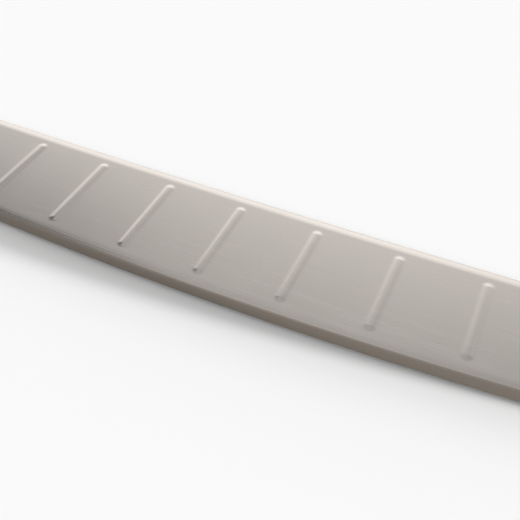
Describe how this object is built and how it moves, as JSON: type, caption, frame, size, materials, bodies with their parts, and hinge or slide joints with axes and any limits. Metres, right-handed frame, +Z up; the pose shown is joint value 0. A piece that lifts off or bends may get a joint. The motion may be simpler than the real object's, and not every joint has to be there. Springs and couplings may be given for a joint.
{
  "type": "rear bumper protector plate",
  "caption": "Long curved strip of brushed stainless sheet with raised anti-slip ribs, a front edge folded down and a rolled rear edge, which covers the top of a vehicle's rear bumper.",
  "frame": {"origin": "on the level floor under the middle of the plate's box, as the plate rests unheld", "axes": "+X along the bumper, +Y from the front flange towards the vehicle, +Z up. The plate rests on the ends of its flange and of its rear edge, so the panel slopes 7.8 degrees down towards +Y"},
  "size_m": [1.055, 0.1136, 0.0177],
  "materials": {
    "brushed_stainless": "cold-rolled stainless sheet with a fine grain brushed along its length"
  },
  "bodies": {
    "root": {"protector_plate": "brushed_stainless"}
  },
  "joints": []
}
